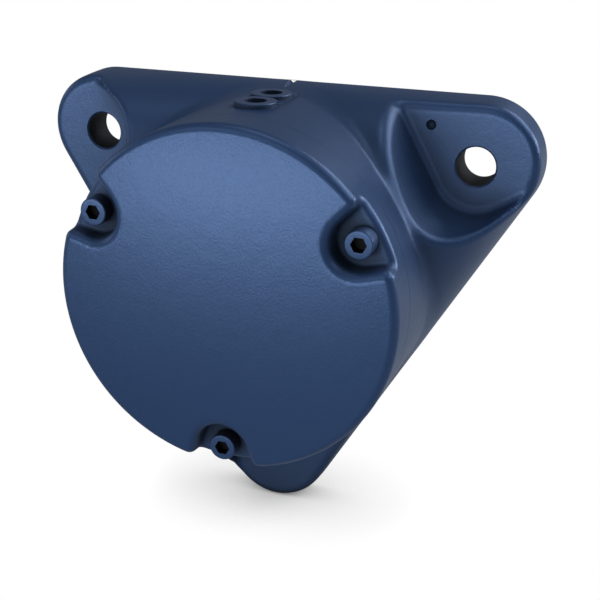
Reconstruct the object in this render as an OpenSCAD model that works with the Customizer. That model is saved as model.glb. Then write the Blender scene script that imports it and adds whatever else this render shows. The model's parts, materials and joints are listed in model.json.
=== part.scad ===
// Triangular three-bolt flanged bearing housing with a round end cover, on a self-aligning ball bearing.
// The mounting face lies in the XZ plane at Y = 0, the shaft runs along Y, and the cover faces -Y.

/* [Mounting flange] */
// Diameter of the circle through the three fixing bolts
bolt_circle_d = 170; // [166:1:190]
// Radius of the rounded flange corner round each fixing bolt
lug_r = 22.4; // [21:0.2:26]
// Diameter of each fixing bolt hole
bolt_hole_d = 14; // [9:0.5:15]
// Thickness of the flange under a bolt head
seat_h = 15; // [11:0.5:20]
// Bevel at the front mouth of each fixing bolt hole
bolt_hole_bevel = 0.6; // [0.2:0.1:1]

/* [Arms and bolt pockets] */
// Height of the arched arms above the mounting face
arm_h = 42.5; // [34:0.5:46]
// Gap between the hub and the foot of a pocket's inner wall
pocket_standoff = 6; // [4.5:0.5:9]
// Spanner room between a bolt hole and the pocket's closing wall
spanner_room = 10; // [7:0.5:11.5]
// Radius of the corner between a pocket's two walls
pocket_corner_r = 16; // [10:0.5:20]
// Radius between a pocket's walls and its floor
pocket_floor_r = 3; // [1:0.5:5]
// Draft angle of a pocket's walls
pocket_draft = 10.5; // [4:0.5:14]

/* [Hub] */
// Outer diameter of the hub and of the end cover
hub_d = 126; // [120:1:132]
// Height of the joint face between hub and cover above the mounting face
hub_h = 56; // [54:0.5:60]
// Diameter of the grease chamber behind the bearing
chamber_d = 82; // [76:1:84]
// Thickness of the rear wall round the shaft opening
rear_wall = 13; // [11:0.5:15]

/* [Grease ports] */
// Height of the rear port above the mounting face
rear_port_h = 23.7; // [20:0.1:24]
// Height of the front port, and of the bearing's centre, above the mounting face
front_port_h = 39.3; // [38:0.1:41]
// Diameter of each port hole
port_d = 8; // [5:0.5:8.5]
// Depth of each port hole, down to the duct
port_depth = 14; // [10:0.5:15]
// Diameter of the duct from each port into the housing
duct_d = 4; // [2:0.5:4.5]
// Outer diameter of each port boss
port_boss_d = 15; // [13:0.5:15.5]
// Distance of the port faces from the shaft axis
port_face_r = 64.5; // [64:0.1:66]
// Distance of the flat pad round the ports from the shaft axis
port_pad_r = 63.2; // [63:0.1:63.8]
// Width of the V notch in the top rear edge
notch_w = 2.8; // [1.5:0.1:4]
// Depth of the V notch
notch_depth = 1.1; // [0.5:0.1:2]
// Diameter of the dimple in one bolt seat
dimple_d = 3.7; // [2:0.1:5]
// Distance from that seat's bolt hole back to the dimple, along the arm
dimple_back = 7.9; // [4:0.1:10]
// Distance from that seat's bolt hole to the dimple, across the arm
dimple_side = 20.1; // [15:0.1:20.5]

/* [Bearing] */
// Outer diameter of the bearing
bearing_outer_d = 90; // [88:0.5:92]
// Smaller diameter of the bearing's tapered bore
bearing_bore = 50; // [49:0.5:51]
// Width of the bearing
bearing_w = 23; // [22.5:0.25:24.5]
// Thickness of the outer ring at the middle of its spherical raceway, as a share of the radial section
outer_wall_share = 0.22; // [0.2:0.005:0.25]
// Ball diameter as a share of the bearing's radial section
ball_share = 0.53; // [0.48:0.01:0.55]
// Distance of each ball row from the bearing's middle plane, as a share of the bearing's width
row_share = 0.26; // [0.25:0.005:0.27]
// Balls in each row
balls_per_row = 16; // [12:1:17]
// Height of the inner ring's shoulders above their ball grooves, as a share of the ball diameter
shoulder_share = 0.2; // [0.14:0.01:0.24]
// Radial thickness of the cage as a share of the ball diameter
cage_share = 0.47; // [0.35:0.01:0.5]
// Width of the cage
cage_w = 18; // [16:0.5:19]
// Width of the lubrication groove round the outer ring
lube_groove_w = 5; // [3:0.5:6]
// Diameter of the lubrication holes through the outer ring
lube_hole_d = 2.5; // [1.5:0.1:3]

/* [Adapter sleeve, nut and washer] */
// Shaft diameter
shaft_d = 45; // [44:0.5:45.5]
// Length of the adapter sleeve
sleeve_len = 42; // [40:0.5:43]
// How far the sleeve stands out behind the bearing
sleeve_rear = 4; // [2:0.5:6]
// Width of the slit along the sleeve
slit_w = 3; // [2:0.2:4]
// How far the lock nut reaches out over the bearing's bore, as a share of the bearing's radial section
nut_share = 0.5; // [0.4:0.01:0.52]
// Thickness of the lock nut
nut_h = 11; // [9:0.5:12]
// Width of each spanner slot in the nut
nut_slot_w = 7; // [5:0.5:8]
// Depth of each spanner slot in the nut
nut_slot_depth = 3; // [2.2:0.1:3.5]
// Thickness of the lock washer
washer_t = 1.25; // [1:0.05:1.5]
// Number of tabs round the lock washer
washer_tabs = 13; // [9:2:17]

/* [End cover] */
// Height of the cover's front edge above the joint face
cover_edge_h = 16.6; // [15.5:0.1:18]
// How far the cover's middle bulges beyond its front edge
cover_crown = 4.4; // [3:0.1:6]
// Radius of the cover's front edge
cover_edge_r = 2.8; // [1.5:0.1:4]
// Wall thickness of the cover at its middle
cover_wall = 5; // [4:0.1:6]
// Radial thickness of the spigot that holds the bearing
spigot_wall = 5; // [3.5:0.1:5.5]

/* [Cover screws] */
// Diameter of the circle through the three cover screws
screw_circle_d = 111.6; // [110:0.2:113]
// Thread diameter of a cover screw
screw_d = 6; // [5:0.5:6]
// Diameter of a screw head
screw_head_d = 10; // [9:0.1:10.5]
// Height of a screw head
screw_head_h = 6; // [5:0.1:6.5]
// Width across the flats of the hexagon socket
socket_af = 5; // [4:0.5:5.5]
// Length of a screw under its head
screw_len = 20; // [17:0.5:24]
// Height of the recess floor above the joint face
recess_floor_h = 9.6; // [8.5:0.1:10.5]
// Radius of a screw recess on its inner side
recess_r = 9; // [8:0.1:10]
// Angle by which each side of a recess opens outwards
recess_flare = 18; // [5:1:25]
// Angle at which the recess walls lean
recess_draft = 6; // [2:0.5:10]

/* [Seals] */
// Thickness of the cover seal ring
seal_d = 2; // [1.6:0.1:2.4]
// Width of the felt seal in the rear wall
felt_w = 6; // [5:0.5:7]
// Radial height of the felt seal
felt_wall = 6; // [5:0.5:7]

/* [Running and fitting gaps] */
// Gap between a ball and each raceway
ball_gap = 0.08; // [0.03:0.01:0.12]
// Gap between the bearing and its seat in the housing
seat_gap = 0.02; // [0.01:0.01:0.05]
// Gap round the shaft in the rear wall
shaft_gap = 1; // [0.6:0.1:1.5]
// Gap between a screw thread and its hole
thread_gap = 0.03; // [0.01:0.01:0.05]
// Gap between a screw thread and the hole through the cover
screw_clearance = 0.3; // [0.2:0.05:0.5]

/* [Hidden] */
$fn = 96;
ARMS = 3;
FIRST_ARM = 30;
OVERLAP = 1;
THIN = 0.05;
TOUCH = 0.005;
SLACK = 0.05;
REACH = 60;
DRILL_TIP = 30;
PAINT = [0.30, 0.38, 0.54];
STEEL = [0.72, 0.73, 0.75];
BALL_STEEL = [0.82, 0.83, 0.85];
BRASS = [0.74, 0.60, 0.32];
RUBBER = [0.12, 0.12, 0.13];
FELT = [0.52, 0.49, 0.43];

bolt_r = bolt_circle_d / 2;
hub_r = hub_d / 2;
side_r = bolt_r * cos(60) + lug_r;
tangent_r = bolt_r + lug_r * cos(60);

pocket_wall_r = hub_r + pocket_standoff;
pocket_side = bolt_hole_d / 2 + spanner_room;

bearing_mid = front_port_h;
bearing_rear = bearing_mid - bearing_w / 2;
bearing_front = bearing_mid + bearing_w / 2;
seat_r = bearing_outer_d / 2 + seat_gap;
section_h = (bearing_outer_d - bearing_bore) / 2;
outer_ring_wall = outer_wall_share * section_h;
race_r = bearing_outer_d / 2 - outer_ring_wall;
ring_face_r = race_r - outer_ring_wall;
WIDEST_BALL = 0.461;
ball_d = min(ball_share * section_h, WIDEST_BALL * bearing_w);
row_offset = row_share * bearing_w;
ball_reach = race_r - ball_d / 2 - ball_gap;
ball_row_r = sqrt(pow(ball_reach, 2) - pow(row_offset, 2));
groove_r = ball_d / 2 + ball_gap;
shoulder_r = ball_row_r - groove_r + shoulder_share * ball_d;
cage_wall = cage_share * ball_d;
ball_pitch = 360 / balls_per_row;
outer_chamfer = 1;
lube_groove_depth = 1;
inner_chamfer = 0.6;

TAPER = 1 / 24;
small_bore_r = bearing_bore / 2;
big_bore_r = small_bore_r + bearing_w * TAPER;
shaft_r = shaft_d / 2;
sleeve_start = bearing_rear - sleeve_rear;
sleeve_end = sleeve_start + sleeve_len;
thread_relief = 0.4;
sleeve_thread_r = small_bore_r - thread_relief;
washer_start = bearing_front + SLACK;
nut_start = washer_start + washer_t + SLACK;
nut_r = small_bore_r + nut_share * section_h;
nut_slots = 4;
nut_bevel = 2;
washer_rim = 1.5;
washer_ring_r = nut_r - nut_slot_depth - washer_rim;
washer_tab_reach = 2;
washer_tab_r = nut_r + washer_tab_reach;
washer_tab_w = 4.5;

screw_r = screw_circle_d / 2;
recess_floor = hub_h + recess_floor_h;
cover_edge = hub_h + cover_edge_h;
cover_top = cover_edge + cover_crown;
cover_flat_r = hub_r - cover_edge_r;
crown_r = (pow(cover_flat_r, 2) + pow(cover_crown, 2)) / (2 * cover_crown);
spigot_out_r = bearing_outer_d / 2 - seat_gap;
spigot_in_r = spigot_out_r - spigot_wall;
spigot_start = bearing_front;
cavity_top = cover_top - cover_wall;
cavity_round = 4;
screw_tip = recess_floor - screw_len;
thread_run = 3;
thread_hole_r = screw_d / 2 + thread_gap;

seal_land = 1.2;
seal_groove_in = seat_r + seal_land;
seal_groove_w = seal_d + 4 * SLACK;
seal_r = seal_groove_in + seal_groove_w / 2;
felt_start = (rear_wall - felt_w) / 2;
felt_in_r = shaft_r + 4 * SLACK;
felt_out_r = felt_in_r + felt_wall;
shaft_way_r = shaft_r + shaft_gap;

BALL_NAMES = [for (row = ["front", "rear"]) for (i = [1:balls_per_row]) str("ball_", row, "_", i)];

// Turns a piece drawn with its height along Z so that its height runs towards the cover, along -Y
module on_face() { rotate([90, 0, 0]) children(); }

// Places a child at each of the three arms, with X running outwards along the arm
module at_arms() {
    for (i = [0:ARMS - 1]) rotate([0, 0, FIRST_ARM + i * 360 / ARMS]) children();
}

// Half width of the flange at a distance r out along an arm
function arm_half_width(r) =
    r < tangent_r ? (side_r - r * cos(60)) / sin(60) : sqrt(max(0, pow(lug_r, 2) - pow(r - bolt_r, 2)));

// One arched arm: half ellipses of one height, as wide as the flange, from the hub out to the tip
module arched_arm() {
    straight_steps = 8;
    round_steps = 7;
    arch_steps = 20;
    start_r = hub_r / 2;
    stations = concat(
        [for (i = [0:straight_steps]) start_r + (tangent_r - start_r) * i / straight_steps],
        [for (i = [1:round_steps]) bolt_r + lug_r * sin(30 + 58.5 * i / round_steps)]);
    row_len = arch_steps + 1;
    last = len(stations) - 1;
    points = [for (r = stations) for (k = [0:arch_steps])
        let (t = 180 * k / arch_steps) [r, arm_half_width(r) * cos(t), arm_h * sin(t)]];
    skin = [for (s = [0:last - 1]) for (k = [0:arch_steps])
        let (a = s * row_len + k, b = s * row_len + (k + 1) % row_len) [a, a + row_len, b + row_len, b]];
    polyhedron(
        points = points,
        faces = concat(skin, [[for (k = [0:arch_steps]) k]],
            [[for (k = [arch_steps:-1:0]) last * row_len + k]]));
}

// Outline of a bolt pocket, drawn in by inset: an inner wall across the arm and a closing wall along it
module pocket_outline(inset) {
    corner_r = pocket_corner_r;
    wall_x = pocket_wall_r + inset;
    side_y = -pocket_side + inset;
    polygon(concat(
        [[wall_x, REACH], [wall_x, side_y + corner_r]],
        [for (k = [1:7]) let (t = 180 + 90 * k / 8)
            [wall_x + corner_r + corner_r * cos(t), side_y + corner_r + corner_r * sin(t)]],
        [[wall_x + corner_r, side_y], [bolt_r + REACH, side_y], [bolt_r + REACH, REACH]]));
}

// The space of a bolt pocket above its seat, with a rounded foot and leaning walls
module bolt_pocket() {
    top = hub_h - seat_h;
    lean = (top - pocket_floor_r) * tan(pocket_draft);
    translate([0, 0, seat_h]) hull() {
        for (a = [0, 30, 60, 90])
            translate([0, 0, pocket_floor_r * (1 - cos(a))]) linear_extrude(THIN)
                pocket_outline(pocket_floor_r * (1 - sin(a)));
        translate([0, 0, top]) linear_extrude(THIN) pocket_outline(-lean);
    }
}

// A straight hole through a plate that runs from 0 to h, bevelled at its front mouth
module bevelled_hole(d, h, bevel) {
    translate([0, 0, -OVERLAP]) cylinder(d = d, h = h + 2 * OVERLAP);
    translate([0, 0, h - bevel]) cylinder(d1 = d, d2 = d + 2 * (bevel + THIN), h = bevel + THIN);
}

// Flat pad and the two port bosses on the top of the hub, standing along Y of the flat drawing
module port_bosses() {
    pad_back = rear_port_h - port_boss_d;
    pad_r = port_boss_d / 2;
    rotate([-90, 0, 0]) {
        linear_extrude(port_pad_r) {
            translate([-pad_r, -front_port_h]) square([port_boss_d, front_port_h - pad_back]);
            translate([0, -front_port_h]) circle(pad_r);
        }
        for (h = [rear_port_h, front_port_h])
            translate([0, -h, 0]) cylinder(d = port_boss_d, h = port_face_r);
    }
}

// Each port is a wide hole with a drilled cone at its foot and a narrow duct that leads on inwards
module port_holes() {
    foot = port_face_r - port_depth;
    cone_h = (port_d - duct_d) / 2 * tan(DRILL_TIP);
    duct_start = chamber_d / 2 - 2 * OVERLAP;
    rotate([-90, 0, 0]) for (h = [rear_port_h, front_port_h]) translate([0, -h, 0]) {
        translate([0, 0, foot]) cylinder(d = port_d, h = port_depth + OVERLAP);
        translate([0, 0, foot - cone_h]) cylinder(d1 = duct_d, d2 = port_d, h = cone_h + TOUCH);
        translate([0, 0, duct_start]) cylinder(d = duct_d, h = foot - duct_start);
    }
}

// V notch across the top rear edge that marks the middle of the flange
module rear_notch() {
    translate([0, side_r, -OVERLAP]) linear_extrude(rear_port_h - port_boss_d / 2 + OVERLAP)
        polygon([[-notch_w / 2, THIN], [0, -notch_depth], [notch_w / 2, THIN]]);
}

// Everything that is turned inside the housing: shaft opening, felt groove, chamber and bearing seat
module housing_bores() {
    translate([0, 0, -OVERLAP]) cylinder(r = shaft_way_r, h = rear_wall + 2 * OVERLAP);
    translate([0, 0, felt_start]) cylinder(r = felt_out_r + SLACK, h = felt_w);
    translate([0, 0, rear_wall]) cylinder(d = chamber_d, h = hub_h);
    translate([0, 0, bearing_rear]) cylinder(r = seat_r, h = hub_h);
    translate([0, 0, hub_h - seal_d]) difference() {
        cylinder(r = seal_groove_in + seal_groove_w, h = seal_d + OVERLAP);
        translate([0, 0, -OVERLAP]) cylinder(r = seal_groove_in, h = seal_d + 3 * OVERLAP);
    }
}

module housing() {
    color(PAINT) on_face() difference() {
        union() {
            difference() {
                at_arms() arched_arm();
                at_arms() bolt_pocket();
            }
            cylinder(r = hub_r, h = hub_h);
            port_bosses();
        }
        at_arms() translate([bolt_r, 0, 0]) bevelled_hole(bolt_hole_d, seat_h, bolt_hole_bevel);
        housing_bores();
        port_holes();
        rear_notch();
        rotate([0, 0, FIRST_ARM]) translate([bolt_r - dimple_back, dimple_side, seat_h])
            sphere(d = dimple_d, $fn = 32);
        at_arms() translate([screw_r, 0, screw_tip - thread_run]) cylinder(r = thread_hole_r, h = hub_h);
    }
}

// Space of one screw recess: a leaning round back and two sides that open out through the rim
module screw_recess() {
    depth = cover_top - recess_floor + OVERLAP;
    out = hub_r - screw_r + 2 * OVERLAP;
    lean = depth * tan(recess_draft);
    half = recess_r / cos(recess_flare);
    cylinder(r1 = recess_r, r2 = recess_r + lean, h = depth);
    linear_extrude(depth) polygon([
        [-recess_r * sin(recess_flare), recess_r * cos(recess_flare)],
        [out, half + out * tan(recess_flare)],
        [out, -half - out * tan(recess_flare)],
        [-recess_r * sin(recess_flare), -recess_r * cos(recess_flare)]]);
}

module end_cover() {
    color(PAINT) on_face() difference() {
        union() {
            translate([0, 0, hub_h]) rotate_extrude() {
                square([hub_r, cover_edge_h - cover_edge_r]);
                square([cover_flat_r, cover_edge_h]);
                translate([cover_flat_r, cover_edge_h - cover_edge_r]) circle(cover_edge_r);
            }
            intersection() {
                translate([0, 0, cover_top - crown_r]) sphere(crown_r, $fn = 200);
                translate([0, 0, cover_edge - OVERLAP])
                    cylinder(r = cover_flat_r, h = cover_crown + 2 * OVERLAP);
            }
            translate([0, 0, spigot_start]) cylinder(r = spigot_out_r, h = hub_h - spigot_start + OVERLAP);
        }
        translate([0, 0, spigot_start - OVERLAP]) rotate_extrude() {
            cavity_h = cavity_top - spigot_start + OVERLAP;
            square([spigot_in_r, cavity_h - cavity_round]);
            square([spigot_in_r - cavity_round, cavity_h]);
            translate([spigot_in_r - cavity_round, cavity_h - cavity_round]) circle(cavity_round);
        }
        at_arms() translate([screw_r, 0, 0]) {
            translate([0, 0, recess_floor]) screw_recess();
            cylinder(r = screw_d / 2 + screw_clearance, h = cover_top);
        }
    }
}

// Socket cap screw, seated on the floor of its recess, with two corners of the socket across the part
module cap_screw(arm) {
    turn = FIRST_ARM + arm * 360 / ARMS;
    edge = 0.6;
    socket_depth = screw_head_h * 0.6;
    color(PAINT) on_face() rotate([0, 0, turn]) translate([screw_r, 0, recess_floor]) difference() {
        union() {
            translate([0, 0, -screw_len]) cylinder(d = screw_d, h = screw_len + OVERLAP);
            cylinder(d = screw_head_d, h = screw_head_h - edge);
            translate([0, 0, screw_head_h - edge])
                cylinder(d1 = screw_head_d, d2 = screw_head_d - 2 * edge, h = edge);
        }
        translate([0, 0, screw_head_h - socket_depth]) rotate([0, 0, -turn])
            cylinder(d = socket_af / cos(30), h = socket_depth + OVERLAP, $fn = 6);
    }
}

module cover_seal() {
    color(RUBBER) on_face() translate([0, 0, hub_h - seal_d / 2]) rotate_extrude()
        translate([seal_r, 0]) circle(d = seal_d - 2 * SLACK, $fn = 32);
}

module felt_seal() {
    color(FELT) on_face() translate([0, 0, felt_start + SLACK]) difference() {
        cylinder(r = felt_out_r, h = felt_w - 2 * SLACK);
        translate([0, 0, -OVERLAP]) cylinder(r = felt_in_r, h = felt_w + 2 * OVERLAP);
    }
}

module bearing_outer_ring() {
    od_r = bearing_outer_d / 2;
    half = bearing_w / 2;
    color(STEEL) on_face() translate([0, 0, bearing_mid]) difference() {
        rotate_extrude() polygon([
            [ring_face_r, -half], [od_r - outer_chamfer, -half], [od_r, -half + outer_chamfer],
            [od_r, -lube_groove_w / 2], [od_r - lube_groove_depth, -lube_groove_w / 2 + lube_groove_depth],
            [od_r - lube_groove_depth, lube_groove_w / 2 - lube_groove_depth], [od_r, lube_groove_w / 2],
            [od_r, half - outer_chamfer], [od_r - outer_chamfer, half], [ring_face_r, half]]);
        sphere(race_r, $fn = 160);
        at_arms() rotate([0, 90, 0]) cylinder(d = lube_hole_d, h = od_r + OVERLAP);
    }
}

module bearing_inner_ring() {
    half = bearing_w / 2;
    c = inner_chamfer;
    color(STEEL) on_face() translate([0, 0, bearing_mid]) rotate_extrude() difference() {
        polygon([
            [big_bore_r, -half], [shoulder_r - c, -half], [shoulder_r, -half + c],
            [shoulder_r, half - c], [shoulder_r - c, half], [small_bore_r, half]]);
        for (z = [-row_offset, row_offset]) translate([ball_row_r, z]) circle(groove_r, $fn = 64);
    }
}

// Moves a child to one place in a ball row; the rear row stands half a pitch round from the front row
module at_ball(row, i) {
    z = row == 0 ? row_offset : -row_offset;
    translate([0, 0, bearing_mid + z]) rotate([0, 0, (i + row / 2) * ball_pitch])
        translate([ball_row_r, 0, 0]) children();
}

module bearing_cage() {
    cage_gap = 0.12;
    color(BRASS) on_face() difference() {
        translate([0, 0, bearing_mid - cage_w / 2]) difference() {
            cylinder(r = ball_row_r + cage_wall / 2, h = cage_w);
            translate([0, 0, -OVERLAP]) cylinder(r = ball_row_r - cage_wall / 2, h = cage_w + 2 * OVERLAP);
        }
        for (row = [0, 1]) for (i = [1:balls_per_row])
            at_ball(row, i) sphere(ball_d / 2 + cage_gap, $fn = 48);
    }
}

module ball(row, i) {
    color(BALL_STEEL) on_face() at_ball(row, i) sphere(d = ball_d, $fn = 48);
}

module adapter_sleeve() {
    thread_start = bearing_front - OVERLAP;
    big_r = big_bore_r + sleeve_rear * TAPER;
    color(STEEL) on_face() difference() {
        union() {
            translate([0, 0, sleeve_start]) cylinder(r1 = big_r, r2 = small_bore_r + OVERLAP * TAPER,
                h = sleeve_rear + bearing_w - OVERLAP);
            translate([0, 0, thread_start]) cylinder(r = sleeve_thread_r, h = sleeve_end - thread_start);
        }
        translate([0, 0, sleeve_start - OVERLAP]) cylinder(r = shaft_r, h = sleeve_len + 2 * OVERLAP);
        translate([-slit_w / 2, shaft_r - OVERLAP, sleeve_start - OVERLAP])
            cube([slit_w, big_r, sleeve_len + 2 * OVERLAP]);
    }
}

// Ring with outer tabs, one tab bent forward into a nut slot, and a tongue in the sleeve's slit
module lock_washer() {
    bore_r = sleeve_thread_r + 2 * SLACK;
    bent_r = nut_r - nut_slot_depth + SLACK;
    tab_in = washer_ring_r - OVERLAP;
    color(STEEL) on_face() {
        translate([0, 0, washer_start]) {
            linear_extrude(washer_t) {
                difference() {
                    union() {
                        circle(washer_ring_r);
                        for (i = [1:washer_tabs - 1]) rotate([0, 0, 90 + i * 360 / washer_tabs])
                            translate([tab_in, -washer_tab_w / 2])
                                square([washer_tab_r - tab_in, washer_tab_w]);
                        translate([-washer_tab_w / 2, tab_in])
                            square([washer_tab_w, bent_r + washer_t - tab_in]);
                    }
                    circle(bore_r);
                }
                tongue_w = slit_w - 4 * SLACK;
                translate([-tongue_w / 2, shaft_r + 0.5]) square([tongue_w, bore_r - shaft_r]);
            }
            translate([-washer_tab_w / 2, bent_r, 0]) cube([washer_tab_w, washer_t, washer_t + nut_h / 2]);
        }
    }
}

module lock_nut() {
    bore_r = sleeve_thread_r + SLACK;
    color(STEEL) on_face() translate([0, 0, nut_start]) difference() {
        rotate_extrude() polygon([
            [bore_r, 0], [nut_r - nut_bevel, 0], [nut_r, nut_bevel / 2], [nut_r, nut_h - nut_bevel / 2],
            [nut_r - nut_bevel, nut_h], [bore_r, nut_h]]);
        for (i = [0:nut_slots - 1]) rotate([0, 0, i * 360 / nut_slots])
            translate([-nut_slot_w / 2, nut_r - nut_slot_depth, -OVERLAP])
                cube([nut_slot_w, nut_slot_depth + OVERLAP, nut_h + 2 * OVERLAP]);
    }
}

housing();
end_cover();
cap_screw(0);  // cover_screw_right
cap_screw(1);  // cover_screw_left
cap_screw(2);  // cover_screw_bottom
cover_seal();
felt_seal();
bearing_outer_ring();
bearing_inner_ring();
bearing_cage();
adapter_sleeve();
lock_washer();
lock_nut();
for (row = [0, 1]) for (i = [1:balls_per_row])
    ball(row, i);
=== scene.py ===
"""Visual model of a flanged bearing housing, built around its construction model.

Shapes are drawn in a flat frame first: X across, Y up and Z the height above the mounting face.
The last step of each piece turns that flat drawing so that its height runs along -Y of the part.
"""

import json
import math

import bpy
import numpy as np
import openvdb
from bpy.props import FloatProperty, FloatVectorProperty, PointerProperty
from mathutils import Matrix, Vector


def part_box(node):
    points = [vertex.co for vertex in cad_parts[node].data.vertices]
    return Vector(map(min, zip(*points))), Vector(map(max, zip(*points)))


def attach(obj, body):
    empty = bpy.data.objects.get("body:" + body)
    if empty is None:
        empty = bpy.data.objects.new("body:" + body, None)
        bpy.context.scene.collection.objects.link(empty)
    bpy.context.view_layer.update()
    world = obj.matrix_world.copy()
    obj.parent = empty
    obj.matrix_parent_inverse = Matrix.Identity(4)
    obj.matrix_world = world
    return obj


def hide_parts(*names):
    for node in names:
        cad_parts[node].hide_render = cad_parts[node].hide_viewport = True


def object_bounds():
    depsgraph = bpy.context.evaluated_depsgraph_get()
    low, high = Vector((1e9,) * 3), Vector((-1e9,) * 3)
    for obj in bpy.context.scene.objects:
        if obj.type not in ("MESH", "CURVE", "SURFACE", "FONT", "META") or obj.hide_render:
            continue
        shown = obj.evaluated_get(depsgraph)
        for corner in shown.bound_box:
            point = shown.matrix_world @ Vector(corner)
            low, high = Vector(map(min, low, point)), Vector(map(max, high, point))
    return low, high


bl_info = {
    "name": "Flanged bearing housing",
    "version": (1, 0, 0),
    "blender": (4, 5, 0),
    "location": "3D View > Sidebar > Housing",
    "description": "Builds a flanged bearing housing with its cover, screws, seals, finishes and studio",
    "category": "Object",
}

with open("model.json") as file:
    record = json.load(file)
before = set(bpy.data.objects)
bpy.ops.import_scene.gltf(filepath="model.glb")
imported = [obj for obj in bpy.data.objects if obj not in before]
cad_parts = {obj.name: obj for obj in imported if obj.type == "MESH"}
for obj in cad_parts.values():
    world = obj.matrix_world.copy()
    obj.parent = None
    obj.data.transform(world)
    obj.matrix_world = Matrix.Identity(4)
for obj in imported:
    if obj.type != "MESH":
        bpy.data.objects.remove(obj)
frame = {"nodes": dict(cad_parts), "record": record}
CAD_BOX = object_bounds()
MOUNTS = {mount["name"]: mount for mount in frame["record"]["mounts"]}
BOLTS = MOUNTS["mounting_bolts"]["dims"]
PORT = MOUNTS["front_port"]["dims"]
COVER_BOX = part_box("end_cover")
MM = 0.001
# Grid steps of the two cast skins, and how near a face lies to the flat or bore that it belongs to.
CASTING_STEP = 0.9 * MM
COVER_STEP = 0.6 * MM
TOUCH = 0.01 * MM
ARM_TURNS = [math.radians(30 + 120 * i) for i in range(3)]
FLAT_TO_PART = Matrix(((1, 0, 0, 0), (0, 0, -1, 0), (0, 1, 0, 0), (0, 0, 0, 1)))


def distance(name, description, default):
    """A length property, in metres."""
    return FloatProperty(
        name=name, description=description, default=default, min=0.0, precision=5, unit="LENGTH",
        subtype="DISTANCE")


def share(name, description, default):
    """A property from 0 to 1."""
    return FloatProperty(
        name=name, description=description, default=default, min=0.0, max=1.0, subtype="FACTOR")


def angle(name, description, degrees):
    """An angle property, given in degrees and kept in radians."""
    return FloatProperty(
        name=name, description=description, default=math.radians(degrees), unit="ROTATION", subtype="ANGLE")


def tint(name, description, default):
    """A colour property, in linear values."""
    return FloatVectorProperty(
        name=name, description=description, default=default, size=3, min=0.0, max=1.0, subtype="COLOR")


class HousingSizes(bpy.types.PropertyGroup):
    """Sizes of the housing casting and of what is machined in it"""

    bolt_circle_r: distance(
        "Bolt circle radius", "Fixing bolts from the shaft axis", BOLTS["pcd_mm"] / 2 * MM)
    bolt_hole_r: distance("Bolt hole radius", "Radius of each fixing bolt hole", BOLTS["hole_r_mm"] * MM)
    bolt_bevel: distance("Bolt hole bevel", "Bevel at the mouth of each bolt hole", 0.6 * MM)
    lug_r: distance("Lug radius", "Radius of the flange corner round each bolt", 22.4 * MM)
    seat_h: distance("Bolt seat height", "Thickness of the flange under a bolt head", 15 * MM)
    arm_h: distance("Arm height", "Height of the arched arms", 42.5 * MM)
    pocket_wall: distance("Pocket wall", "Foot of a pocket's inner wall from the shaft axis", 69 * MM)
    pocket_side: distance("Pocket side", "Foot of a pocket's closing wall from the arm's middle", 17 * MM)
    pocket_corner: distance("Pocket corner", "Radius of the corner between a pocket's walls", 16 * MM)
    pocket_foot: distance("Pocket foot", "Radius between a pocket's walls and its floor", 2.2 * MM)
    pocket_rim: distance("Pocket rim", "Radius of the rounded rim of a pocket and a lug", 3 * MM)
    pocket_draft: angle("Pocket draft", "Lean of a pocket's walls", 10.5)
    hub_r: distance("Hub radius", "Radius of the hub", COVER_BOX[1].x)
    hub_h: distance("Joint height", "Height of the joint between hub and cover", 56 * MM)
    hub_fillet: distance("Hub fillet", "Radius between the hub and the arms", 2.5 * MM)
    seam_bevel: distance("Seam bevel", "Bevel along the joint between hub and cover", 0.12 * MM)
    port_r: distance("Port radius", "Radius of each grease port", PORT["r_mm"] * MM)
    port_depth: distance("Port depth", "Depth of each grease port, down to its duct", PORT["length_mm"] * MM)
    duct_r: distance("Duct radius", "Radius of the duct that leads inwards from each port", 2 * MM)
    boss_r: distance("Boss radius", "Radius of each port boss", 7.5 * MM)
    boss_face: distance("Boss face", "Port faces from the shaft axis", 64.5 * MM)
    pad_face: distance("Pad face", "Flat pad round the ports from the shaft axis", 63.2 * MM)
    boss_edge: distance("Boss edge", "Bevel round a port boss", 0.25 * MM)
    rear_port_h: distance(
        "Rear port height", "Rear port above the mounting face", -MOUNTS["rear_port"]["pos_m"][1])
    front_port_h: distance(
        "Front port height", "Front port above the mounting face", -MOUNTS["front_port"]["pos_m"][1])
    notch_half: distance("Notch half width", "Half the width of the notch in the top rear edge", 1.4 * MM)
    notch_depth: distance("Notch depth", "Depth of the notch in the top rear edge", 1.1 * MM)
    dimple_r: distance("Dimple radius", "Radius of the dimple in one bolt seat", 1.85 * MM)
    dimple_back: distance("Dimple back", "From the bolt hole back to the dimple", 7.9 * MM)
    dimple_side: distance("Dimple side", "From the bolt hole across to the dimple", 20.1 * MM)
    shaft_way_r: distance("Shaft opening", "Radius of the shaft opening in the rear wall", 23.5 * MM)
    felt_groove_r: distance("Felt groove", "Outer radius of the felt groove", 28.75 * MM)
    felt_groove_w: distance("Felt groove width", "Width of the felt groove", 6 * MM)
    chamber_r: distance("Chamber radius", "Radius of the grease chamber", 41 * MM)
    rear_wall: distance("Rear wall", "Thickness of the rear wall", 13 * MM)
    seat_r: distance("Bearing seat radius", "Radius of the bearing seat", 45.02 * MM)
    seat_start: distance("Bearing seat start", "Height of the shoulder behind the bearing", 27.8 * MM)
    seal_land: distance("Seal land", "Wall between the bearing seat and the seal groove", 1.2 * MM)
    seal_groove_w: distance("Seal groove width", "Width of the seal groove in the joint face", 2.2 * MM)
    seal_groove_depth: distance("Seal groove depth", "Depth of the seal groove in the joint face", 2 * MM)
    thread_hole_r: distance("Thread hole", "Radius of the threaded holes for the cover screws", 3.03 * MM)
    thread_hole_end: distance("Thread hole end", "Height at which the threaded holes end", 42.6 * MM)


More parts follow.
